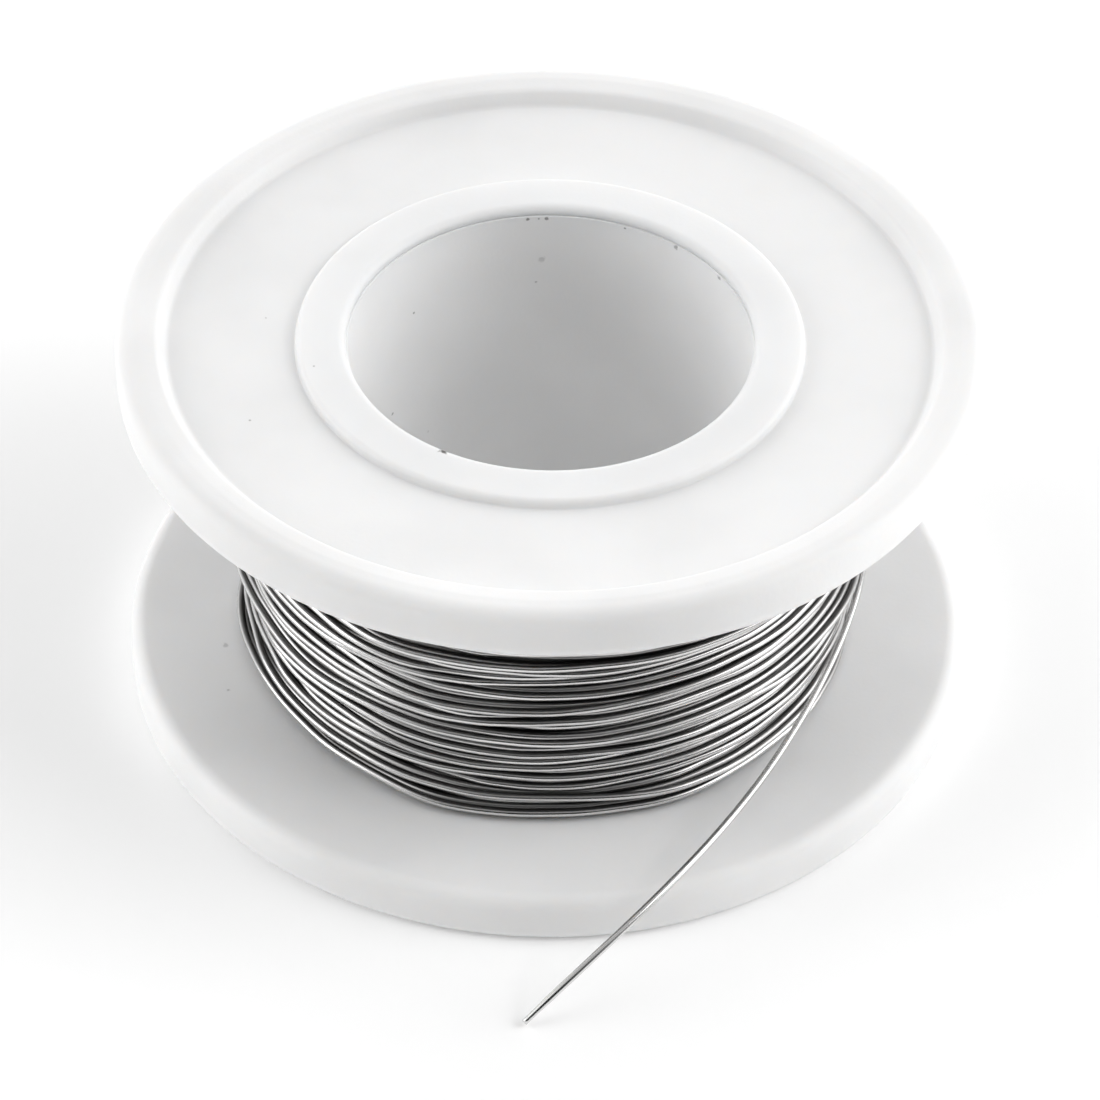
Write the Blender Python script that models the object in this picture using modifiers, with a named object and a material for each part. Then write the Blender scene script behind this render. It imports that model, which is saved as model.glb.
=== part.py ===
"""Solder wire spool: a moulded core tube pressed into two identical flanges, wound with solder wire.

Metres, +Z up. The origin is the centre of the lower flange's rim, on the surface that the spool stands on.
"""

import math

import bpy
import numpy as np

# Overall
SPOOL_HEIGHT = 0.0232
FLANGE_DIAMETER = 0.0460
BORE_DIAMETER = 0.0215
FIT_GAP = 0.0003  # between pieces that touch

# Flange
RIM_THICKNESS = 0.0030
RIM_WIDTH = 0.00275
RIM_HEIGHT = 0.00115  # above the web
RIM_OUTER_ROUNDING = 0.0010
RIM_INNER_ROUNDING = 0.0008
EDGE_ROUNDING = 0.00035
COLLAR_WALL = 0.00075  # around the seat of the core tube
COLLAR_HEIGHT = 0.0005  # above the web
LIP_THICKNESS = 0.0004  # covers the end of the core tube
LEAD_IN_ROUNDING = 0.0003

# Core tube
TUBE_WALL = 0.0016

# Solder wire
WIRE_DIAMETER = 0.0004
WINDING_DEPTH = 0.00395
WINDING_EDGE_ROUNDING = 0.0006

# Fineness
TURN_STEPS = 64
TAIL_SPACING = 2.5 * WIRE_DIAMETER

# Worked out from the above
BORE_RADIUS = BORE_DIAMETER / 2
TUBE_RADIUS = BORE_RADIUS + TUBE_WALL
WEB_THICKNESS = RIM_THICKNESS - RIM_HEIGHT
COLLAR_TOP = WEB_THICKNESS + COLLAR_HEIGHT  # above the flange's inner face
TUBE_SEAT = COLLAR_TOP - LIP_THICKNESS  # above the flange's inner face

# The free end of the wire, from the winding over the lower rim to the surface
TAIL_ROUTE = (
    (0.01739, -0.00014, 0.00716),
    (0.01710, -0.00208, 0.00690),
    (0.01662, -0.00401, 0.00660),
    (0.01601, -0.00590, 0.00630),
    (0.01531, -0.00777, 0.00603),
    (0.01455, -0.00961, 0.00580),
    (0.01374, -0.01142, 0.00560),
    (0.01287, -0.01321, 0.00544),
    (0.01195, -0.01497, 0.00529),
    (0.01096, -0.01671, 0.00515),
    (0.00989, -0.01840, 0.00498),
    (0.00875, -0.02005, 0.00478),
    (0.00752, -0.02163, 0.00450),
    (0.00623, -0.02312, 0.00413),
    (0.00489, -0.02451, 0.00365),
    (0.00349, -0.02579, 0.00303),
    (0.00207, -0.02694, 0.00226),
    (0.00062, -0.02798, 0.00134),
    (-0.00083, -0.02890, 0.00025),
)


def clear_scene():
    for obj in list(bpy.data.objects):
        bpy.data.objects.remove(obj, do_unlink=True)


def new_collection(name):
    collection = bpy.data.collections.new(name)
    bpy.context.scene.collection.children.link(collection)
    return collection


def material(name, color, roughness, metallic=0.0):
    made = bpy.data.materials.new(name)
    made.use_nodes = True
    shader = made.node_tree.nodes["Principled BSDF"]
    shader.inputs["Base Color"].default_value = (*color, 1.0)
    shader.inputs["Roughness"].default_value = roughness
    shader.inputs["Metallic"].default_value = metallic
    return made


def arc(centre_r, centre_z, radius, start_deg, end_deg, steps):
    """Points of a circular arc in the (r, z) plane."""
    angles = np.radians(np.linspace(start_deg, end_deg, steps + 1))
    return [
        (centre_r + radius * math.cos(a), centre_z + radius * math.sin(a))
        for a in angles
    ]


def turned(name, outline, finish, collection):
    """A closed (r, z) outline, clockwise with r to the right, turned about +Z."""
    mesh = bpy.data.meshes.new(name)
    count = len(outline)
    mesh.from_pydata(
        [(r, 0.0, z) for r, z in outline],
        [(i, (i + 1) % count) for i in range(count)],
        [],
    )
    mesh.materials.append(finish)
    obj = bpy.data.objects.new(name, mesh)
    collection.objects.link(obj)
    screw = obj.modifiers.new("turn", "SCREW")
    screw.axis = "Z"
    screw.angle = 2 * math.pi
    screw.steps = TURN_STEPS
    screw.render_steps = TURN_STEPS
    screw.use_merge_vertices = True
    screw.merge_threshold = 0.00001
    screw.use_smooth_shade = True
    return obj


def flange_outline():
    """Outline of a flange, with z = 0 on the face that holds the wire."""
    rim_radius = FLANGE_DIAMETER / 2
    rim_inside = rim_radius - RIM_WIDTH
    seat_radius = TUBE_RADIUS + FIT_GAP
    collar_radius = seat_radius + COLLAR_WALL
    return [
        *arc(rim_inside + EDGE_ROUNDING, RIM_THICKNESS - EDGE_ROUNDING, EDGE_ROUNDING, 180, 90, 2),
        *arc(
            rim_radius - RIM_OUTER_ROUNDING,
            RIM_THICKNESS - RIM_OUTER_ROUNDING,
            RIM_OUTER_ROUNDING,
            90,
            0,
            6,
        ),
        *arc(rim_radius - RIM_INNER_ROUNDING, RIM_INNER_ROUNDING, RIM_INNER_ROUNDING, 0, -90, 5),
        (seat_radius, 0.0),
        (seat_radius, TUBE_SEAT),
        (BORE_RADIUS, TUBE_SEAT),
        *arc(BORE_RADIUS + LEAD_IN_ROUNDING, COLLAR_TOP - LEAD_IN_ROUNDING, LEAD_IN_ROUNDING, 180, 90, 3),
        *arc(collar_radius - EDGE_ROUNDING, COLLAR_TOP - EDGE_ROUNDING, EDGE_ROUNDING, 90, 0, 2),
        (collar_radius, WEB_THICKNESS),
        (rim_inside, WEB_THICKNESS),
    ]


def flange(name, inner_face_z, turned_over, finish, collection):
    obj = turned(name, flange_outline(), finish, collection)
    obj.location.z = inner_face_z
    obj.rotation_euler.x = math.pi if turned_over else 0.0
    return obj


def core_tube(finish, collection):
    """The tube between the two flanges' seats, a gap short at each end."""
    end = RIM_THICKNESS - TUBE_SEAT + FIT_GAP
    top = SPOOL_HEIGHT - end
    outline = [(TUBE_RADIUS, top), (TUBE_RADIUS, end), (BORE_RADIUS, end), (BORE_RADIUS, top)]
    return turned("core_tube", outline, finish, collection)


def solder_winding(finish, collection):
    """The outer shape of the wound wire, between the flanges' inner faces."""
    low = RIM_THICKNESS + FIT_GAP
    high = SPOOL_HEIGHT - low
    inside = TUBE_RADIUS + FIT_GAP
    outside = inside + WINDING_DEPTH
    rounding = WINDING_EDGE_ROUNDING
    outline = [
        *arc(outside - rounding, high - rounding, rounding, 90, 0, 3),
        *arc(outside - rounding, low + rounding, rounding, 0, -90, 3),
        (inside, low),
        (inside, high),
    ]
    return turned("solder_winding", outline, finish, collection)


def smooth_route(points, spacing):
    """Evenly spaced points on the natural cubic spline through points, by chord length."""
    points = np.array(points)
    knots = np.concatenate([[0.0], np.cumsum(np.linalg.norm(np.diff(points, axis=0), axis=1))])
    steps = np.diff(knots)
    slopes = np.diff(points, axis=0) / steps[:, None]
    system = np.eye(len(points))
    right = np.zeros_like(points)
    for i in range(1, len(points) - 1):
        system[i, i - 1 : i + 2] = steps[i - 1], 2 * (steps[i - 1] + steps[i]), steps[i]
        right[i] = 6 * (slopes[i] - slopes[i - 1])
    bends = np.linalg.solve(system, right)
    count = max(2, round(knots[-1] / spacing) + 1)
    wanted = np.linspace(0.0, knots[-1], count)
    span = np.clip(np.searchsorted(knots, wanted, side="right") - 1, 0, len(steps) - 1)
    before = (wanted - knots[span])[:, None]
    after = (knots[span + 1] - wanted)[:, None]
    step = steps[span][:, None]
    return (
        (bends[span] * after**3 + bends[span + 1] * before**3) / (6 * step)
        + (points[span] / step - bends[span] * step / 6) * after
        + (points[span + 1] / step - bends[span + 1] * step / 6) * before
    )


def solder_tail(finish, collection):
    route = smooth_route(TAIL_ROUTE, TAIL_SPACING)
    curve = bpy.data.curves.new("solder_tail", "CURVE")
    curve.dimensions = "3D"
    curve.bevel_depth = WIRE_DIAMETER / 2
    curve.bevel_resolution = 2
    curve.use_fill_caps = True
    spline = curve.splines.new("POLY")
    spline.points.add(len(route) - 1)
    for point, place in zip(spline.points, route):
        point.co = (*place, 1.0)
    curve.materials.append(finish)
    obj = bpy.data.objects.new("solder_tail", curve)
    collection.objects.link(obj)
    return obj


def main():
    clear_scene()
    parts = new_collection("solder_wire_spool")
    plastic = material("white_plastic", (0.83, 0.84, 0.85), 0.42)
    core_plastic = material("core_plastic", (0.80, 0.81, 0.82), 0.45)
    solder = material("solder", (0.62, 0.62, 0.63), 0.28, metallic=1.0)
    solder_end = material("solder_end", (0.60, 0.60, 0.61), 0.32, metallic=1.0)
    core_tube(core_plastic, parts)
    flange("lower_flange", RIM_THICKNESS, True, plastic, parts)
    flange("upper_flange", SPOOL_HEIGHT - RIM_THICKNESS, False, plastic, parts)
    solder_winding(solder, parts)
    solder_tail(solder_end, parts)


main()
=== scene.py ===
import math

import bmesh
import bpy
import numpy as np
from mathutils import Matrix, Vector


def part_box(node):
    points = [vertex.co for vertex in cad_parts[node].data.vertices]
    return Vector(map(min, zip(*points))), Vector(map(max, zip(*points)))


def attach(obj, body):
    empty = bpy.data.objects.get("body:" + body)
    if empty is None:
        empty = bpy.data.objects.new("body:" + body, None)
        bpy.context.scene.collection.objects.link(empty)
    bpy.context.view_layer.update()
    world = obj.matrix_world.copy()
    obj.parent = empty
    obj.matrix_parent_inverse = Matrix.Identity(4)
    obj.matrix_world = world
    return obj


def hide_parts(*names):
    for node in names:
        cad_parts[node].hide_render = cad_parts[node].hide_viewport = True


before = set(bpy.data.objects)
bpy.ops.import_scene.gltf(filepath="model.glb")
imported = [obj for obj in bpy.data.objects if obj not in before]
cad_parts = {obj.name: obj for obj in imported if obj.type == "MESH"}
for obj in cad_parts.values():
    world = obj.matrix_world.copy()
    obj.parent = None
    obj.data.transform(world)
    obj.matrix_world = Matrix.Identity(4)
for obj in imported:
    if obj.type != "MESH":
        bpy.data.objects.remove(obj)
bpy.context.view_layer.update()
print("frame loaded:", sorted(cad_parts))


cameraSettings = {
    "place": (0.0, -0.21007, 0.19503),
    "aim": (0.00015, 0.0, 0.00715),  # a point beside the axis, in the middle of the view
    "roll": 0.015,
    "lens": 167.9,  # mm on a 36 mm sensor
}


def makeCamera(settings):
    data = bpy.data.cameras.new("camera")
    data.lens = settings["lens"]
    data.sensor_width = 36.0
    data.dof.use_dof = False
    data.clip_start = 0.01
    data.clip_end = 10.0
    camera = bpy.data.objects.new("camera", data)
    look = Vector(settings["aim"]) - Vector(settings["place"])
    turned = look.to_track_quat("-Z", "Y").to_matrix() @ Matrix.Rotation(settings["roll"], 3, "Z")
    camera.matrix_world = Matrix.Translation(settings["place"]) @ turned.to_4x4()
    bpy.context.scene.collection.objects.link(camera)
    bpy.context.scene.camera = camera


makeCamera(cameraSettings)
print("camera placed")


# points is an (m, n, 3) grid, and quads join neighbours along both of its directions.
# closedRows joins the last row to the first, closedColumns the last column to the first.
# maps holds (m, n, 2) grids of numbers that the material follows, kept as UV maps.
def gridMesh(name, points, closedRows=False, closedColumns=False, maps=None):
    m, n = points.shape[:2]
    rows = np.arange(m if closedRows else m - 1)[:, None]
    columns = np.arange(n if closedColumns else n - 1)[None, :]
    nextRows, nextColumns = (rows + 1) % m, (columns + 1) % n
    quads = np.stack(
        [rows * n + columns, rows * n + nextColumns, nextRows * n + nextColumns, nextRows * n + columns],
        axis=-1,
    ).reshape(-1, 4)
    mesh = bpy.data.meshes.new(name)
    mesh.vertices.add(m * n)
    mesh.vertices.foreach_set("co", points.astype(np.float32).ravel())
    mesh.loops.add(quads.size)
    mesh.loops.foreach_set("vertex_index", quads.astype(np.int32).ravel())
    mesh.polygons.add(len(quads))
    mesh.polygons.foreach_set("loop_start", np.arange(0, quads.size, 4, dtype=np.int32))
    mesh.update(calc_edges=True)
    for key, values in (maps or {}).items():
        layer = mesh.uv_layers.new(name=key)
        layer.data.foreach_set("uv", values.reshape(-1, 2)[quads].astype(np.float32).ravel())
    mesh.shade_smooth()
    piece = bpy.data.objects.new(name, mesh)
    bpy.context.scene.collection.objects.link(piece)
    return piece


# An outline through corners of (r, z, rounding): each corner becomes an arc tangent to its two
# sides, of steps chords, with one more point on each side a share of the rounding further out,
# which keeps the flats flat when they are shaded smooth.
def roundedOutline(corners, steps, margin=0.1):
    corners = np.array(corners)
    at, rounding = corners[:, :2], corners[:, 2:]
    back = np.roll(at, 1, axis=0) - at
    ahead = np.roll(at, -1, axis=0) - at
    back /= np.linalg.norm(back, axis=1, keepdims=True)
    ahead /= np.linalg.norm(ahead, axis=1, keepdims=True)
    half = np.arccos(np.clip((back * ahead).sum(1, keepdims=True), -1, 1)) / 2
    reach = rounding / np.tan(half)
    middle = back + ahead
    centre = at + middle / np.linalg.norm(middle, axis=1, keepdims=True) * rounding / np.sin(half)
    start = at + back * reach - centre
    end = at + ahead * reach - centre
    sweep = (math.pi - 2 * half)[:, :, None]
    share = np.linspace(0, 1, steps + 1)[None, :, None]
    fromStart = np.sin((1 - share) * sweep) * start[:, None]
    arcs = (fromStart + np.sin(share * sweep) * end[:, None]) / np.sin(sweep)
    before = at + back * (reach + margin * rounding)
    after = at + ahead * (reach + margin * rounding)
    return np.concatenate([before[:, None], centre[:, None] + arcs, after[:, None]], axis=1).reshape(-1, 2)


# A solid of revolution: the closed (r, z) outline, clockwise with r to the right, at every angle.
def turnedPiece(name, outline, steps=256):
    angle = np.linspace(0, 2 * math.pi, steps, endpoint=False)[:, None]
    r, z = outline[None, :, 0], outline[None, :, 1]
    points = np.stack([r * np.cos(angle), r * np.sin(angle), z + 0 * angle], axis=-1)
    return gridMesh(name, points, closedRows=True, closedColumns=True)


# A wire: a ring of points round each point of the path. Up is +Z made square to the path, and the
# ring starts there. radius is a number, or an (m, sides + 1) array of the radius at each angle. Both
# ends are flat. paintedShade holds two shares of painted shade for each point: in the grooves, and all
# round.
def wirePiece(name, path, radius, sides, paintedShade, lengthBefore=0.0):
    step = np.gradient(path, axis=0)
    along = step / np.linalg.norm(step, axis=1, keepdims=True)
    up = np.array([0.0, 0.0, 1.0]) - along[:, 2:] * along
    up /= np.linalg.norm(up, axis=1, keepdims=True)
    side = np.cross(along, up)
    angle = np.linspace(0, 2 * math.pi, sides + 1)[None, :, None]
    spoke = np.cos(angle) * up[:, None] + np.sin(angle) * side[:, None]
    rings = path[:, None] + np.broadcast_to(radius, (len(path), sides + 1))[:, :, None] * spoke
    first, last = (np.repeat(path[end][None, None], sides + 1, axis=1) for end in (0, -1))
    rings = np.concatenate([first, rings, last])
    travelled = np.concatenate([[0.0], np.cumsum(np.linalg.norm(np.diff(path, axis=0), axis=1))])
    travelled = np.concatenate([travelled[:1], travelled, travelled[-1:]]) + lengthBefore
    turn = angle[0, :, 0][None, :] / (2 * math.pi)
    place = np.stack(np.broadcast_arrays(travelled[:, None], turn), axis=-1)
    paintedShade = np.concatenate([paintedShade[:1], paintedShade, paintedShade[-1:]])
    paintedShade = np.broadcast_to(paintedShade[:, None], place.shape)
    piece = gridMesh(name, rings, maps={"along": place, "paintedShade": paintedShade})
    closeDoubles(piece.data, 0.01 * float(np.min(radius)))
    return piece


def closeDoubles(mesh, distance):
    work = bmesh.new()
    work.from_mesh(mesh)
    bmesh.ops.remove_doubles(work, verts=work.verts, dist=distance)
    bmesh.ops.dissolve_degenerate(work, edges=work.edges, dist=distance)
    work.to_mesh(mesh)
    work.free()


# An output of a material's node tree. Arithmetic on it adds Math nodes.
class Signal:
    def __init__(self, tree, socket):
        self.tree = tree
        self.socket = socket

    # Adds a node of this kind: its settings first, then the values or links of its sockets.
    def node(self, kind, settings=None, inputs=None, output=0):
        made = self.tree.nodes.new(kind)
        for key, value in (settings or {}).items():
            setattr(made, key, value)
        for key, value in (inputs or {}).items():
            if isinstance(value, Signal):
                self.tree.links.new(value.socket, made.inputs[key])
            else:
                made.inputs[key].default_value = value
        return Signal(self.tree, made.outputs[output])

    def math(self, operation, *values):
        return self.node("ShaderNodeMath", {"operation": operation}, dict(enumerate(values)))

    def __add__(self, other):
        return self.math("ADD", self, other)

    def __radd__(self, other):
        return self.math("ADD", other, self)

    def __sub__(self, other):
        return self.math("SUBTRACT", self, other)

    def __rsub__(self, other):
        return self.math("SUBTRACT", other, self)

    def __mul__(self, other):
        return self.math("MULTIPLY", self, other)

    def __rmul__(self, other):
        return self.math("MULTIPLY", other, self)

    def __truediv__(self, other):
        return self.math("DIVIDE", self, other)

    # another output of the same node
    def output(self, index):
        return Signal(self.tree, self.socket.node.outputs[index])

    # 0 below low, 1 above high, smooth between; low may be above high
    def smooth(self, low, high):
        if low > high:
            return 1 - self.smooth(high, low)
        return self.node(
            "ShaderNodeMapRange",
            {"interpolation_type": "SMOOTHSTEP"},
            {"Value": self, "From Min": low, "From Max": high},
        )

    # color where this signal is 0, other where it is 1
    def mixColor(self, color, other):
        return self.node(
            "ShaderNodeMix", {"data_type": "RGBA", "clamp_factor": True}, {0: self, 6: color, 7: other}, 2
        )


# A new material and what its finish is built from: the start of its tree, and its Principled shader.
def newMaterial(name):
    material = bpy.data.materials.new(name)
    material.use_nodes = True
    tree = material.node_tree
    shader = tree.nodes["Principled BSDF"]
    return material, tree, shader


def connect(tree, shader, **signals):
    for key, signal in signals.items():
        tree.links.new(signal.socket, shader.inputs[key.replace("_", " ")])


plasticSettings = {
    "flangeColor": (0.845, 0.845, 0.845, 1.0),
    "coreColor": (0.885, 0.885, 0.885, 1.0),
    "shade": 0.94,  # how much darker the clouds in it are
    "dirt": (0.04, 0.036, 0.032, 1.0),
    "roughness": 0.46,
    "ior": 1.46,
    "specular": 0.38,
    "cloudScale": 90.0,
    "skinScale": 4200.0,
    "skinBump": 0.3,
    "skinDepth": 0.00002,
    "speckScale": 300.0,
    "speckPlacesScale": 420.0,
    "speckTone": 0.5,
    "glowUnderSkin": 0.6,  # share of the light that spreads inside before it comes out
    "spread": (0.6, 0.55, 0.5),
    "spreadScale": 0.0015,
    "flangeMarks": (  # x, y, z, radius, depth of tone
        (-0.01909, -0.00199, 0.0221, 0.00009, 0.35),
        (-0.01977, -0.00316, 0.0221, 0.00012, 0.45),
        (-0.01961, -0.00381, 0.0221, 0.00012, 0.45),
        (-0.01516, 0.00152, 0.0221, 0.00010, 0.35),
        (-0.01239, -0.00301, 0.02255, 0.00010, 0.35),
        (-0.01211, 0.00620, 0.0221, 0.00011, 0.40),
        (-0.00540, -0.00964, 0.0225, 0.00030, 0.95),
        (-0.01762, -0.00359, 0.0030, 0.00022, 0.30),
        (-0.01725, -0.00718, 0.0030, 0.00016, 0.35),
    ),
    "coreMarks": (
        (-0.00133, 0.01066, 0.0218, 0.00013, 0.70),
        (-0.00073, 0.01072, 0.0218, 0.00009, 0.50),
        (-0.00029, 0.01074, 0.0218, 0.00012, 0.65),
        (0.00397, 0.00998, 0.0218, 0.00010, 0.60),
        (0.00673, 0.00838, 0.0218, 0.00018, 0.50),
        (0.00906, 0.00579, 0.0218, 0.00018, 0.45),
        (-0.00053, 0.01073, 0.0190, 0.00022, 0.22),
        (-0.00084, 0.01072, 0.0174, 0.00012, 0.40),
        (-0.00749, 0.00771, 0.0175, 0.00010, 0.50),
        (-0.00867, 0.00636, 0.0114, 0.00012, 0.50),
    ),
}


# Moulded white plastic: a fine satin skin, cloudy by a trace, with sparse specks and a few marks.
def whitePlastic(name, settings, baseColor, offset, marks):
    s = settings
    material, tree, shader = newMaterial(name)
    shade = tuple(s["shade"] * part for part in baseColor[:3]) + (1.0,)
    start = Signal(tree, None)
    position = start.node("ShaderNodeTexCoord", output=3)
    moved = start.node("ShaderNodeMapping", inputs={"Vector": position, "Location": offset})

    def noise(scale, detail=2.0):
        inputs = {"Vector": moved, "Scale": scale, "Detail": detail}
        return start.node("ShaderNodeTexNoise", inputs=inputs)

    cloud = noise(s["cloudScale"], 3.0)
    skin = noise(s["skinScale"])
    cell = start.node("ShaderNodeTexVoronoi", inputs={"Vector": moved, "Scale": s["speckScale"]})
    chosen = noise(s["speckPlacesScale"]).smooth(0.60, 0.68)
    dirt = cell.smooth(0.036, 0.02) * chosen * s["speckTone"]
    # each mark is a blot round its own point, with a ragged edge
    for x, y, z, radius, depth in marks:
        away = position.node(
            "ShaderNodeVectorMath", {"operation": "DISTANCE"}, {0: position, 1: (x, y, z)}, output=1
        )
        blot = (away + (skin - 0.5) * (radius * 1.6)).smooth(radius, radius * 0.35) * depth
        dirt = dirt.math("MAXIMUM", dirt, blot)
    color = cloud.smooth(0.35, 0.7).mixColor(baseColor, shade)
    color = dirt.mixColor(color, s["dirt"])
    roughness = s["roughness"] + (cloud - 0.5) * 0.10 + (skin - 0.5) * 0.08
    bump = start.node(
        "ShaderNodeBump", inputs={"Strength": s["skinBump"], "Distance": s["skinDepth"], "Height": skin}
    )
    connect(tree, shader, Base_Color=color, Roughness=roughness, Normal=bump)
    shader.inputs["IOR"].default_value = s["ior"]
    shader.inputs["Specular IOR Level"].default_value = s["specular"]
    shader.inputs["Subsurface Weight"].default_value = s["glowUnderSkin"]
    shader.inputs["Subsurface Radius"].default_value = s["spread"]
    shader.inputs["Subsurface Scale"].default_value = s["spreadScale"]
    return material


solderSettings = {
    "bright": (0.74, 0.735, 0.73, 1.0),
    "dull": (0.46, 0.455, 0.45, 1.0),
    # the colour of the painted shade in the grooves and on deep-lying turns
    "paintedShade": (0.15, 0.147, 0.145, 1.0),
    "roughness": 0.20,
    "lineScale": (60.0, 24.0, 1.0),  # to a metre along the wire, and to a turn round it
    "patchScale": (130.0, 1.5, 1.0),
    "lineBump": 0.3,
    "lineDepth": 0.00001,
    "crown": 0.77,  # where round the wire the painted shade is thinnest, as a share of a turn
    "crownInner": 0.04,  # how far from there it starts, and is full
    "crownOuter": 0.22,
    # the share of painted shade that a turn lying deep between its neighbours gets all round
    "deepPaintedShade": 0.7,
}


# Drawn solder: bright grey metal with draw lines along the wire and patches of duller skin, with
# painted shade in the grooves between turns and all round on turns that lie deep.
def solderMetal(name, settings):
    s = settings
    material, tree, shader = newMaterial(name)
    start = Signal(tree, None)
    along = start.node("ShaderNodeUVMap", {"uv_map": "along"})

    def streaks(scale, detail):
        stretched = start.node("ShaderNodeMapping", inputs={"Vector": along, "Scale": scale})
        inputs = {"Vector": stretched, "Scale": 1.0, "Detail": detail}
        return start.node("ShaderNodeTexNoise", inputs=inputs)

    lines = streaks(s["lineScale"], 3.0)
    patches = streaks(s["patchScale"], 4.0)
    dullness = patches.smooth(0.4, 0.7) * 0.7 + lines.smooth(0.55, 0.75) * 0.3
    parts = start.node("ShaderNodeSeparateXYZ", inputs={"Vector": along})
    paintedShadeShares = start.node("ShaderNodeUVMap", {"uv_map": "paintedShade"})
    paintedShade = start.node("ShaderNodeSeparateXYZ", inputs={"Vector": paintedShadeShares})
    around = parts.output(1)
    away = around.math("ABSOLUTE", around - s["crown"])
    # painted shade: darker towards the wire's sides away from its crown, where it meets the turns beside
    # it, and all round on turns that lie deep
    paintedGrooveShade = paintedShade.output(0) * away.smooth(s["crownInner"], s["crownOuter"])
    paintedShadeAmount = paintedGrooveShade.math("MAXIMUM", paintedGrooveShade, paintedShade.output(1) * s["deepPaintedShade"])
    color = dullness.mixColor(s["bright"], s["dull"])
    color = paintedShadeAmount.mixColor(color, s["paintedShade"])
    roughness = s["roughness"] + dullness * 0.1 + (lines - 0.5) * 0.1 + paintedShadeAmount * 0.2
    bump = start.node(
        "ShaderNodeBump", inputs={"Strength": s["lineBump"], "Distance": s["lineDepth"], "Height": lines}
    )
    connect(tree, shader, Base_Color=color, Roughness=roughness, Normal=bump)
    shader.inputs["Metallic"].default_value = 1.0
    return material


fluxSettings = {
    "pale": (0.55, 0.30, 0.08, 1.0),
    "deep": (0.32, 0.14, 0.03, 1.0),
    "roughness": 0.28,
    "cloudScale": 9000.0,
}


# Rosin flux: glassy amber, cloudy in places.
def amberFlux(name, settings):
    material, tree, shader = newMaterial(name)
    start = Signal(tree, None)
    position = start.node("ShaderNodeTexCoord", output=3)
    cloud = start.node(
        "ShaderNodeTexNoise", inputs={"Vector": position, "Scale": settings["cloudScale"], "Detail": 2.0}
    )
    connect(
        tree,
        shader,
        Base_Color=cloud.smooth(0.35, 0.65).mixColor(settings["pale"], settings["deep"]),
        Roughness=settings["roughness"] + cloud * 0.1,
    )
    return material


flangePlastic = whitePlastic(
    "flangePlastic",
    plasticSettings,
    plasticSettings["flangeColor"],
    (0.013, 0.004, 0.0),
    plasticSettings["flangeMarks"],
)
corePlastic = whitePlastic(
    "corePlastic",
    plasticSettings,
    plasticSettings["coreColor"],
    (0.071, 0.052, 0.03),
    plasticSettings["coreMarks"],
)
solder = solderMetal("solder", solderSettings)
flux = amberFlux("flux", fluxSettings)
print("materials ready")


flangeSettings = {
    "rimWidth": 0.00220,
    "rimSlope": 0.00050,  # how much wider the rim is at its foot
    "rimFall": 0.00014,  # from the rim's crest to its inner edge
    "rimCrest": 0.0013,  # how far in from the outside the crest is
    "crestRounding": 0.0012,
    "outerRounding": 0.0008,
    "innerRounding": 0.0008,
    "rimEdgeRounding": 0.0004,
    "rimFootRounding": 0.0003,
    "webAtRim": 0.00205,  # the web rises a little from the collar to the rim
    "webAtCollar": 0.00180,
    "collarRadius": 0.01345,
    "collarFoot": 0.00007,  # how much wider the collar is at its foot
    "collarTop": 0.00235,
    "collarEdgeRounding": 0.00030,
    "collarFootRounding": 0.00010,
    "boreRadius": 0.01083,
    "boreRounding": 0.00042,
    "lipThickness": 0.00058,
    "smallRounding": 0.00006,
    "arcSteps": 8,
}


# The flange's outline, with height counted from its inner face outwards.
def flangeOutline(settings, rimRadius, thickness, tubeRadius):
    s = settings
    rimInside = rimRadius - s["rimWidth"]
    small = s["smallRounding"]
    lip = s["collarTop"] - s["lipThickness"]
    return roundedOutline(
        [
            (rimInside, thickness - s["rimFall"], s["rimEdgeRounding"]),
            (rimRadius - s["rimCrest"], thickness, s["crestRounding"]),
            (rimRadius, thickness, s["outerRounding"]),
            (rimRadius, 0.0, s["innerRounding"]),
            (tubeRadius + small, 0.0, small),
            (tubeRadius + small, lip, small / 2),
            (s["boreRadius"], lip, small / 2),
            (s["boreRadius"], s["collarTop"], s["boreRounding"]),
            (s["collarRadius"], s["collarTop"], s["collarEdgeRounding"]),
            (s["collarRadius"] + s["collarFoot"], s["webAtCollar"], s["collarFootRounding"]),
            (rimInside - s["rimSlope"], s["webAtRim"], s["rimFootRounding"]),
        ],
        s["arcSteps"],
    )


tubeSettings = {
    "edgeRounding": 0.00005,
    "boreRadius": 0.01075,  # a little less than the lip's, which leaves a fine ledge at the seam
    "seam": 0.00001,
    "arcSteps": 4,
}


upperLow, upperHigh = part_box("upper_flange")
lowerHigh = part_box("lower_flange")[1]
rimRadius, tubeRadius = upperHigh.x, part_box("core_tube")[1].x
flangeThickness = upperHigh.z - upperLow.z
outline = flangeOutline(flangeSettings, rimRadius, flangeThickness, tubeRadius)

upperFlange = turnedPiece("upperFlange", outline + [0.0, upperLow.z])
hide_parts("upper_flange")
lowerFlange = turnedPiece("lowerFlange", (outline * [1.0, -1.0] + [0.0, lowerHigh.z])[::-1])
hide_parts("lower_flange")


# The tube between the two lips, a hair short of them.
def tubeOutline(settings, tubeRadius, bottom, top):
    s = settings
    return roundedOutline(
        [
            (tubeRadius, top - s["seam"], s["edgeRounding"]),
            (tubeRadius, bottom + s["seam"], s["edgeRounding"]),
            (s["boreRadius"], bottom + s["seam"], s["edgeRounding"]),
            (s["boreRadius"], top - s["seam"], s["edgeRounding"]),
        ],
        s["arcSteps"],
    )


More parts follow.
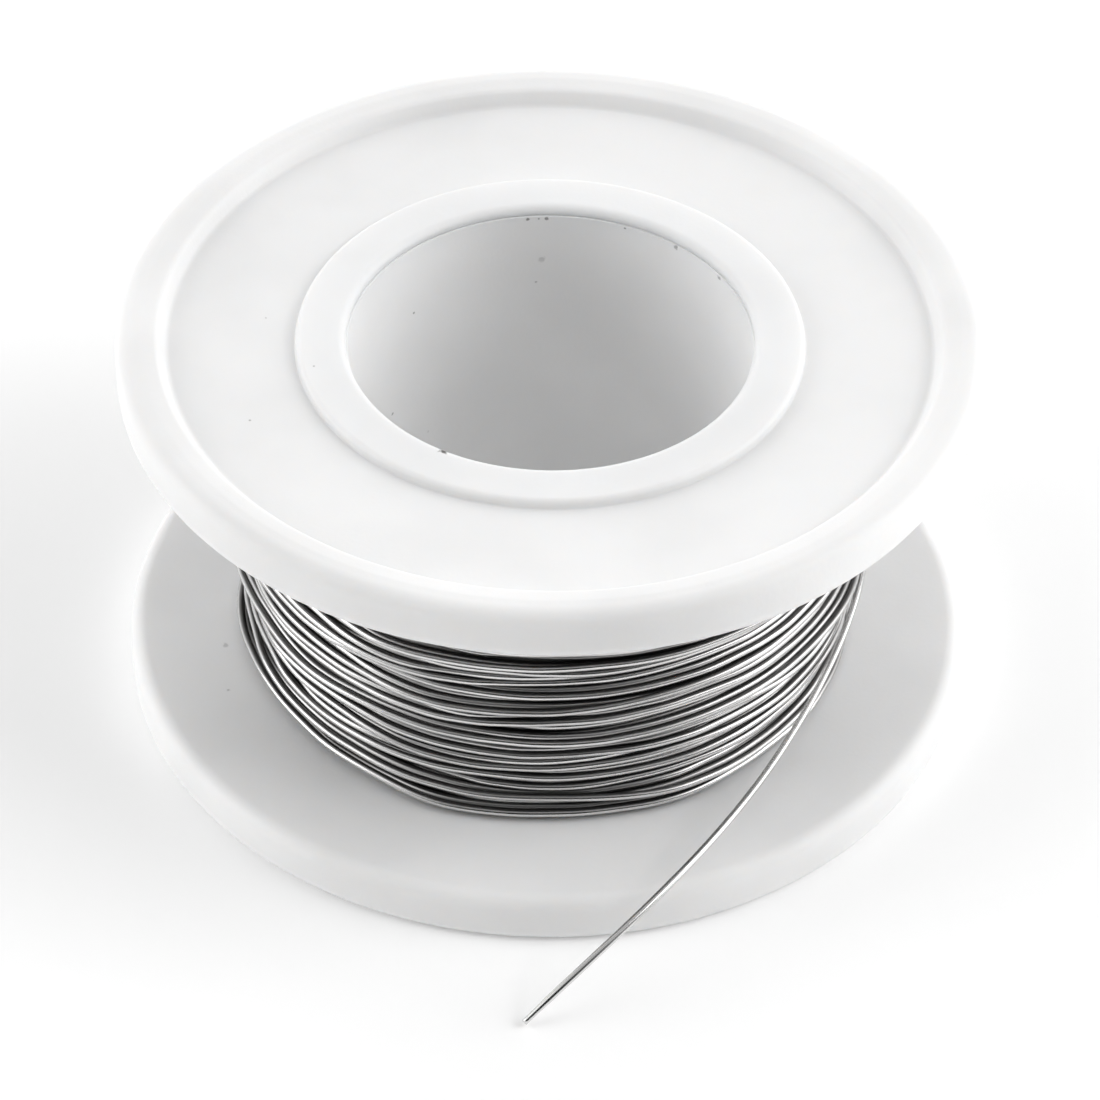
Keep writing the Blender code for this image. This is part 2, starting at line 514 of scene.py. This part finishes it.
seamLevel = flangeSettings["collarTop"] - flangeSettings["lipThickness"]
coreTube = turnedPiece(
    "coreTube", tubeOutline(tubeSettings, tubeRadius, lowerHigh.z - seamLevel, upperLow.z + seamLevel)
)
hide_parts("core_tube")
for piece, material, slot in (
    (upperFlange, flangePlastic, "flange_plastic"),
    (lowerFlange, flangePlastic, "flange_plastic"),
    (coreTube, corePlastic, "core_plastic"),
):
    piece.data.materials.append(material)
    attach(piece, "root")
print("flanges and core tube made")


tailSettings = {
    "wire": 0.0004,
    "sides": 12,
    "spacing": 0.0002,
    "pinch": 0.18,  # share of its radius that the cutters took from one side of the tip
    "pinchTurn": 0.644,  # share of a turn, round the wire, at which that side lies
    "pinchReach": 0.0022,
    "coreRadius": 0.00007,
    "coreLength": 0.00006,
    "coreStandsOut": 0.00001,
    "route": (  # the same points as the CAD model's
        (0.01739, -0.00014, 0.00716),
        (0.01710, -0.00208, 0.00690),
        (0.01662, -0.00401, 0.00660),
        (0.01601, -0.00590, 0.00630),
        (0.01531, -0.00777, 0.00603),
        (0.01455, -0.00961, 0.00580),
        (0.01374, -0.01142, 0.00560),
        (0.01287, -0.01321, 0.00544),
        (0.01195, -0.01497, 0.00529),
        (0.01096, -0.01671, 0.00515),
        (0.00989, -0.01840, 0.00498),
        (0.00875, -0.02005, 0.00478),
        (0.00752, -0.02163, 0.00450),
        (0.00623, -0.02312, 0.00413),
        (0.00489, -0.02451, 0.00365),
        (0.00349, -0.02579, 0.00303),
        (0.00207, -0.02694, 0.00226),
        (0.00062, -0.02798, 0.00134),
        (-0.00083, -0.02890, 0.00025),
    ),
}


# Evenly spaced points on the natural cubic spline through points, with chord length as parameter.
def smoothRoute(points, spacing):
    points = np.array(points)
    knots = np.concatenate([[0.0], np.cumsum(np.linalg.norm(np.diff(points, axis=0), axis=1))])
    steps = np.diff(knots)
    slopes = np.diff(points, axis=0) / steps[:, None]
    inner = np.arange(1, len(points) - 1)
    system = np.eye(len(points))
    system[inner, inner - 1] = steps[:-1]
    system[inner, inner] = 2 * (steps[:-1] + steps[1:])
    system[inner, inner + 1] = steps[1:]
    right = np.zeros_like(points)
    right[inner] = 6 * np.diff(slopes, axis=0)
    bends = np.linalg.solve(system, right)
    wanted = np.linspace(0.0, knots[-1], max(2, round(knots[-1] / spacing) + 1))
    span = np.clip(np.searchsorted(knots, wanted, side="right") - 1, 0, len(steps) - 1)
    before, after, step = wanted - knots[span], knots[span + 1] - wanted, steps[span]
    before, after, step = before[:, None], after[:, None], step[:, None]
    return (
        (bends[span] * after**3 + bends[span + 1] * before**3) / (6 * step)
        + (points[span] / step - bends[span] * step / 6) * after
        + (points[span + 1] / step - bends[span + 1] * step / 6) * before
    )


# The radius at each point and angle t: r (1 - pinch share(point) cos^2(t - pinchTurn)), where share
# grows smoothly to 1 at the tip.
def pinchedRadius(settings, travelled):
    s = settings
    share = np.clip(1 - (travelled[-1] - travelled) / s["pinchReach"], 0, 1)[:, None]
    angle = 2 * math.pi * (np.linspace(0, 1, s["sides"] + 1) - s["pinchTurn"])[None, :]
    return s["wire"] / 2 * (1 - s["pinch"] * share**2 * (3 - 2 * share) * np.cos(angle) ** 2)


tailPath = smoothRoute(tailSettings["route"], tailSettings["spacing"])
tailTravelled = np.concatenate([[0.0], np.cumsum(np.linalg.norm(np.diff(tailPath, axis=0), axis=1))])
solderTail = wirePiece(
    "solderTail",
    tailPath,
    pinchedRadius(tailSettings, tailTravelled),
    tailSettings["sides"],
    paintedShade=np.zeros((len(tailPath), 2)),
)
solderTail.data.materials.append(solder)
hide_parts("solder_tail")
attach(solderTail, "root")


# The core of flux, bare at the cut end: a short plug that stands out a trace.
def fluxPlug(settings):
    s = settings
    heading = tailPath[-1] - tailPath[-2]
    heading /= np.linalg.norm(heading)
    reach = np.linspace(s["coreStandsOut"] - s["coreLength"], s["coreStandsOut"], 3)[:, None]
    path = tailPath[-1] + reach * heading
    plug = wirePiece("fluxCore", path, s["coreRadius"], s["sides"], paintedShade=np.zeros((len(path), 2)))
    plug.data.materials.append(flux)
    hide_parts("solder_tail")
    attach(plug, "root")


fluxPlug(tailSettings)


windingSettings = {
    "wire": 0.0004,
    "samples": 192,  # points a turn
    "pileRadius": 0.01640,  # where the outermost turns' outsides end, on average
    "gridStep": 0.00004,  # of the pile's height map, along the axis
    "pitch": 0.00043,
    "outerPitch": 0.00052,
    "outerDepth": 0.0010,  # of the layers with the wider pitch, jumps and wander
    "outerFade": 0.3,  # share of that depth over which they set in
    "levelling": 2.5,  # how much faster the guide crosses a high place
    "levellingRange": (0.45, 2.2),
    "pitchScatter": 0.2,
    "turnBack": 0.2,  # how high the pile is at an end when the guide turns back, in wires above its mean
    "wander": 0.00022,
    "jumpEvery": 9.0,  # turns
    "jump": 0.0028,
    "lastMove": 0.0012,  # most the guide travels a turn on its way to where the free end leaves
    "slip": 0.00030,  # most a turn slides from under its guide into a groove
    "slipSteps": 26,
    "slipStep": 0.00003,
    "slipKept": 0.985,  # by tension, at each step
    "slopeReach": 0.6,  # how far to each side the slope is taken, in radii of the wire
    "pullSteps": 160,
    "shallow": 0.00008,  # depths between which a turn gets painted shade all round
    "deep": 0.00045,
    "leaving": 0.16,  # share of a turn over which the wire lifts off towards its free end
    "climb": 1.6,  # how much longer it takes to come to that end's height
    "paintedShadeReach": 4,  # cells beyond the wire's two sides in which its neighbours are looked for
    "paintedShadeRank": 4,  # which of the highest of those cells counts
    "seed": 14,
    "fineTurns": 100,
    "fineSides": 10,
    "coarseSides": 6,
    "coarseStride": 4,
}


# The weights of a moving average that fades smoothly at both ends.
def fadingWindow(width):
    window = np.hanning(width + 2)[1:-1]
    return window / window.sum()


# The pile as a height map over (angle, height), on which the wire is laid turn by turn.
class Pile:
    def __init__(self, settings, innerRadius, low, high):
        s = settings
        self.radius = s["wire"] / 2
        self.step = s["gridStep"]
        self.samples = s["samples"]
        self.low, self.high = low, high
        self.cells = int(round((high - low) / self.step)) + 1
        self.map = np.full((self.samples, self.cells), innerRadius)
        self.half = int(self.radius / self.step)
        self.cover = np.arange(-self.half, self.half + 1)
        self.cap = np.sqrt(np.maximum(self.radius**2 - (self.cover * self.step) ** 2, 0.0))
        self.angles = np.arange(self.samples + self.samples // 8) % self.samples  # a turn and an eighth

    def under(self, height):
        cell = np.round((height - self.low) / self.step).astype(int)
        return np.clip(cell, self.half, self.cells - 1 - self.half)[:, None] + self.cover

    # The wire's centre rests at the largest, over the heights it covers, of the pile's radius
    # plus the wire's own half-round.
    def resting(self, height):
        return (self.map[self.angles[: len(height), None], self.under(height)] + self.cap).max(1)

    def lay(self, height, r):
        rows, near = self.angles[: len(height), None], self.under(height)
        self.map[rows, near] = np.maximum(self.map[rows, near], r[:, None] + self.cap)

    def level(self, height):
        cell = int(round((height - self.low) / self.step))
        band = slice(max(0, cell - 2 * self.half), cell + 2 * self.half)
        return self.map[:, band].mean()


# Slides the turn sideways from under its guide, down the slopes of the pile, while its own
# tension smooths it. The first point stays where the turn before ended.
def slide(pile, settings, guide, firstShift):
    s = settings
    window = fadingWindow(s["samples"] // 16)
    pad = len(window) // 2
    reach = pile.radius * s["slopeReach"]
    shift = np.full(len(guide), firstShift)
    for _ in range(s["slipSteps"]):
        height = guide + shift
        slope = (pile.resting(height + reach) - pile.resting(height - reach)) / (2 * reach)
        shift = shift * s["slipKept"] - s["slipStep"] * np.clip(slope, -1, 1)
        shift = np.clip(shift, -s["slip"], s["slip"])
        shift[0] = firstShift
        padded = np.concatenate([np.full(pad, firstShift), shift, np.full(pad, shift[-1])])
        shift = np.convolve(padded, window, mode="same")[pad:-pad]
    return shift


# Between the places it rests on, a turn is pulled straight: in polar form a straight run obeys
# r'' = r.
def pullStraight(support, firstRadius, stepAngle, steps):
    r = support.copy()
    for _ in range(steps):
        before = np.concatenate([[firstRadius], r[:-1]])
        after = np.concatenate([r[1:], r[-1:]])
        r = np.maximum(support, (before + after - r * stepAngle**2) / 2)
    return np.convolve(np.concatenate([[firstRadius], r, r[-1:]]), [0.25, 0.5, 0.25], mode="valid")


# Lays turns until the pile is full and the guide comes down to endHeight.
def layWinding(settings, rng, innerRadius, low, high, endHeight):
    s = settings
    pile = Pile(s, innerRadius, low, high)
    samples = s["samples"]
    count = len(pile.angles)
    stepAngle = 2 * math.pi / samples
    share = np.arange(count) / samples
    bottom, top = low + pile.radius, high - pile.radius
    at, direction, waiting = bottom, 1.0, s["jumpEvery"]
    wander, nextWander = 0.0, 0.0
    lastRadius, lastShift = innerRadius + pile.radius, 0.0
    radii, heights = [], []
    ending = 0
    while ending < 2:
        mean = pile.map.mean()
        fade = s["outerFade"] * s["outerDepth"]
        outer = float(np.clip((mean - s["pileRadius"] + s["outerDepth"]) / fade, 0, 1))
        full = mean > s["pileRadius"]
        pitch = s["pitch"] + (s["outerPitch"] - s["pitch"]) * outer
        pitch *= np.clip(1 + s["levelling"] * (pile.level(at) - mean) / s["wire"], *s["levellingRange"])
        pitch *= 1 + s["pitchScatter"] * rng.uniform(-1, 1)
        move = direction * pitch
        waiting -= 1
        if outer > 0 and waiting < 0:
            waiting = rng.exponential(s["jumpEvery"])
            move += s["jump"] * rng.uniform(-1, 1)
        if full:
            move = min(max(endHeight - at, -s["lastMove"]), s["lastMove"])
            ending += abs(endHeight - at) < s["lastMove"]
        aim = at + move
        if not full and not bottom < aim < top:
            aim = min(max(aim, bottom), top)
            if pile.level(aim) > mean + s["turnBack"] * s["wire"]:
                direction = 1.0 if aim <= bottom else -1.0
        wander, nextWander = nextWander, s["wander"] * outer * rng.uniform(-1, 1)
        if full:
            nextWander = 0.0
        turnWander = wander + (nextWander - wander) * (1 - np.cos(math.pi * np.clip(share, 0, 1))) / 2
        guide = np.clip(at + (aim - at) * share + turnWander, bottom, top)
        shift = slide(pile, s, guide, lastShift)
        if ending == 2:
            shift = shift * np.clip(1 - share, 0, 1)
        height = np.clip(guide + shift, bottom, top)
        r = pullStraight(pile.resting(height), lastRadius, stepAngle, s["pullSteps"])
        pile.lay(height[:samples], r[:samples])
        radii.append(r[:samples])
        heights.append(height[:samples])
        lastRadius, lastShift = r[samples - 1], shift[samples - 1]
        at = aim
    return np.concatenate(radii), np.concatenate(heights), pile


# Eases values into a given end value and slope, by a cubic over the last count samples.
def easeInto(values, count, endValue, endSlope):
    start = values[-count - 1]
    slope = values[-count] - start
    share = np.arange(1, count + 1) / count
    eased = (
        start * (2 * share**3 - 3 * share**2 + 1)
        + slope * count * (share**3 - 2 * share**2 + share)
        + endValue * (3 * share**2 - 2 * share**3)
        + endSlope * count * (share**3 - share**2)
    )
    return np.concatenate([values[:-count], eased])


def windWire(settings):
    s = settings
    rng = np.random.default_rng(s["seed"])
    exitPoint = tailPath[0]
    exitStep = (tailPath[1] - tailPath[0]) / np.linalg.norm(tailPath[1] - tailPath[0])
    exitAngle = math.atan2(exitPoint[1], exitPoint[0])
    exitRadius = math.hypot(exitPoint[0], exitPoint[1])
    outward = np.array([math.cos(exitAngle), math.sin(exitAngle), 0.0])
    around = np.array([math.sin(exitAngle), -math.cos(exitAngle), 0.0])
    sampleLength = 2 * math.pi * exitRadius / s["samples"]
    radialSlope = exitStep @ outward / (exitStep @ around) * sampleLength
    heightSlope = exitStep[2] / (exitStep @ around) * sampleLength
    count = int(s["leaving"] * s["samples"])
    lastHeight = exitPoint[2] - heightSlope * count * (s["climb"] / 2)
    r, z, pile = layWinding(s, rng, tubeRadius, lowerHigh.z, upperLow.z, lastHeight)
    r = easeInto(r, count, exitRadius, radialSlope)
    z = easeInto(z, int(count * s["climb"]), exitPoint[2], heightSlope)
    stepAngle = 2 * math.pi / s["samples"]
    angle = exitAngle + stepAngle * (len(r) - 1 - np.arange(len(r)))
    path = np.stack([r * np.cos(angle), r * np.sin(angle), z], axis=-1)
    return path, paintedShadeOf(pile, s, r, z, count)


# Painted shade: full in the grooves of the wound wire, none on the part that has lifted off, and all
# round wherever the wire lies deep between its neighbours.
def paintedShadeOf(pile, settings, r, z, count):
    s = settings
    columns = np.arange(len(r)) % s["samples"]
    reach = np.arange(-s["paintedShadeReach"], 2 * pile.half + s["paintedShadeReach"] + 1)
    near = np.clip(pile.under(z)[:, :1] + reach, 0, pile.cells - 1)
    above = np.sort(pile.map[columns[:, None], near], axis=1)[:, -s["paintedShadeRank"]] - (r + pile.radius)
    deep = np.clip((above - s["shallow"]) / (s["deep"] - s["shallow"]), 0, 1)
    groove = np.ones(len(r))
    groove[-count:] = np.linspace(1, 0, count)
    return np.stack([groove, deep], axis=-1)


woundPath, woundPaintedShade = windWire(windingSettings)
woundLength = np.concatenate([[0.0], np.cumsum(np.linalg.norm(np.diff(woundPath, axis=0), axis=1))])
woundTurns = len(woundPath) // windingSettings["samples"]
print("wire wound:", woundTurns, "turns,", round(woundLength[-1], 2), "m")


def windingPieces(settings):
    s = settings
    total = len(woundPath) - 1
    fineFrom = total - s["fineTurns"] * s["samples"]
    fineFrom -= fineFrom % s["coarseStride"]
    halfway = (fineFrom + total) // 2
    runs = (
        ("windingInner", 0, fineFrom, s["coarseStride"], s["coarseSides"]),
        ("windingMiddle", fineFrom, halfway, 1, s["fineSides"]),
        ("windingOuter", halfway, total, 1, s["fineSides"]),
    )
    for name, start, stop, stride, sides in runs:
        piece = wirePiece(
            name,
            woundPath[start : stop + 1 : stride],
            s["wire"] / 2,
            sides,
            paintedShade=woundPaintedShade[start : stop + 1 : stride],
            lengthBefore=woundLength[start],
        )
        piece.data.materials.append(solder)
        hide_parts("solder_winding")
        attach(piece, "root")
        print(name, len(piece.data.polygons), "faces")


windingPieces(windingSettings)


stageSettings = {
    "size": 1.6,
    "floorColor": (0.93, 0.93, 0.93, 1.0),
    "floorRoughness": 0.7,
    "floorGlow": 0.10,
    "front": 0.0,  # the soft surround's brightness towards each side
    "back": 1.8,
    "left": 0.85,
    "right": 0.45,
    "top": 0.0,
}


# A soft surround, darkest behind the camera. Towards the direction (x, y, z) its brightness is
# x^2 side + y^2 (front or back) + z^2 top, and the three shares add up to one.
def softSurround(settings):
    world = bpy.data.worlds.new("surround")
    world.use_nodes = True
    tree = world.node_tree
    start = Signal(tree, None)
    direction = start.node("ShaderNodeTexCoord", output=0)
    parts = start.node("ShaderNodeSeparateXYZ", inputs={"Vector": direction})
    x, y, z = (parts.output(index) for index in range(3))
    isRight, isBack = x.math("GREATER_THAN", x, 0.0), y.math("GREATER_THAN", y, 0.0)
    side = settings["left"] + isRight * (settings["right"] - settings["left"])
    depth = settings["front"] + isBack * (settings["back"] - settings["front"])
    brightness = x * x * side + y * y * depth + z * z * settings["top"]
    tree.links.new(brightness.socket, tree.nodes["Background"].inputs["Strength"])
    tree.nodes["Background"].inputs["Color"].default_value = (1.0, 1.0, 1.0, 1.0)
    return world


def makeStage(settings):
    edge = np.linspace(-settings["size"] / 2, settings["size"] / 2, 3)
    x, y = np.meshgrid(edge, edge, indexing="xy")
    floor = gridMesh("floor", np.stack([x, y, 0 * x], axis=-1))
    material, _, shader = newMaterial("floorPaper")
    shader.inputs["Base Color"].default_value = settings["floorColor"]
    shader.inputs["Roughness"].default_value = settings["floorRoughness"]
    shader.inputs["Emission Color"].default_value = (1.0, 1.0, 1.0, 1.0)
    shader.inputs["Emission Strength"].default_value = settings["floorGlow"]
    floor.data.materials.append(material)
    bpy.context.scene.world = softSurround(settings)


# name, place, what it points at, width, height, watts
lights = (
    ("overhead", (0.0, -0.05, 0.60), (0.0, 0.0, 0.0), 0.9, 0.8, 1.18),
    ("left", (-0.55, -0.05, 0.20), (0.0, 0.0, 0.01), 0.4, 0.36, 1.45),
    ("leftHigh", (-0.45, -0.10, 0.45), (0.0, 0.0, 0.01), 0.4, 0.3, 0.25),
    ("right", (0.55, 0.0, 0.22), (0.0, 0.0, 0.01), 0.5, 0.4, 1.7),
    ("rightHigh", (0.45, -0.10, 0.45), (0.0, 0.0, 0.01), 0.4, 0.3, 1.15),
)


def makeLights(rows):
    for name, place, target, width, height, watts in rows:
        data = bpy.data.lights.new(name, "AREA")
        data.shape = "RECTANGLE"
        data.size = width
        data.size_y = height
        data.energy = watts
        lamp = bpy.data.objects.new(name, data)
        look = Vector(target) - Vector(place)
        lamp.location = place
        lamp.rotation_mode = "QUATERNION"
        lamp.rotation_quaternion = look.to_track_quat("-Z", "Y")
        bpy.context.scene.collection.objects.link(lamp)


makeStage(stageSettings)
makeLights(lights)
bpy.context.scene.view_settings.view_transform = "Standard"
print("stage and lights made")
